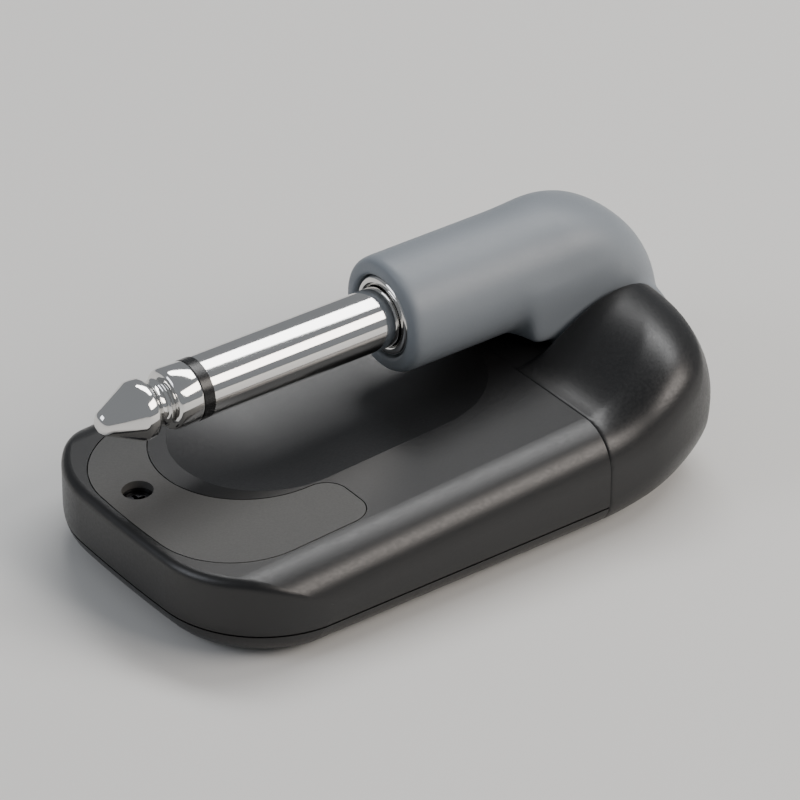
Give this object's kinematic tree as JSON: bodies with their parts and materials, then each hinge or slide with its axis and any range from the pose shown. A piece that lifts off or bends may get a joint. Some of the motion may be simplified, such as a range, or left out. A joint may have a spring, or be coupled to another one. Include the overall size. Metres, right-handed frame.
{
  "type": "wireless guitar transmitter",
  "caption": "Flat rounded wireless transmitter with a jack plug on a grey swivel arm folded over its hollowed face, shown closed.",
  "frame": {"origin": "middle of the bounding box's underside, on the plane of the outer cover that the part lies on", "axes": "+X runs from the thin end to the hinge end, +Z points out of the face that the plug folds over, +Y completes the right hand; the hinge's axle lies along Y"},
  "size_m": [0.068, 0.038, 0.025],
  "materials": {
    "body_black": "satin moulded ABS, dark",
    "plate_black": "fine matte texture",
    "arm_grey": "soft satin moulding, cool grey",
    "plug_nickel": "polished nickel plate",
    "ring_black": "smooth nylon",
    "nylon_white": "natural nylon",
    "contact_brass": "stamped brass",
    "bush_bronze": "sintered bronze",
    "steel": "plain steel",
    "screw_black": "black zinc plate",
    "board_green": "solder mask",
    "chip_black": "moulded epoxy",
    "ceramic_white": "ceramic",
    "shield_tin": "tinned steel",
    "port_steel": "nickel-plated steel",
    "button_black": "smooth ABS",
    "lens_clear": "clear polycarbonate",
    "cell_foil": "laminated foil",
    "foam_grey": "closed-cell foam",
    "lead_red": "silicone-covered wire"
  },
  "bodies": {
    "housing": {"main_shell": "body_black", "hinge_housing": "body_black", "outer_cover": "body_black", "end_plate": "plate_black", "case_screws": "screw_black", "hinge_screws": "steel", "board_screws": "steel", "circuit_board": "board_green", "radio_shield": "shield_tin", "processor_chip": "chip_black", "crystal": "shield_tin", "antenna": "ceramic_white", "usb_port": "port_steel", "usb_tongue": "chip_black", "power_switch": "shield_tin", "light_lens": "lens_clear", "status_led": "ceramic_white", "battery_pad": "foam_grey", "battery_cell": "cell_foil", "hinge_bushes": "bush_bronze", "friction_washers": "steel", "signal_lead": "lead_red"},
    "arm": {"swivel_arm": "arm_grey", "axle": "steel", "axle_clips": "steel", "plug_sleeve": "plug_nickel", "plug_collar": "plug_nickel", "plug_ring": "ring_black", "plug_insulator": "nylon_white", "plug_tip": "plug_nickel", "plug_nut": "contact_brass", "rear_washer": "nylon_white", "tip_lug": "contact_brass", "sleeve_lug": "contact_brass"},
    "button": {"power_button": "button_black", "switch_plunger": "chip_black"}
  },
  "joints": [
    {"name": "arm_pivot", "type": "hinge", "parent": "housing", "child": "arm", "pos_m": [0.0257, 0.0038, 0.0083], "axis": [0, 1, 0], "range_deg": [0, 180]},
    {"name": "button_press", "type": "slide", "parent": "housing", "child": "button", "axis": [0, -1, 0], "range_m": [0, 0.0004], "stiffness_N_per_m": 1500, "springref_m": -0.0003}
  ]
}
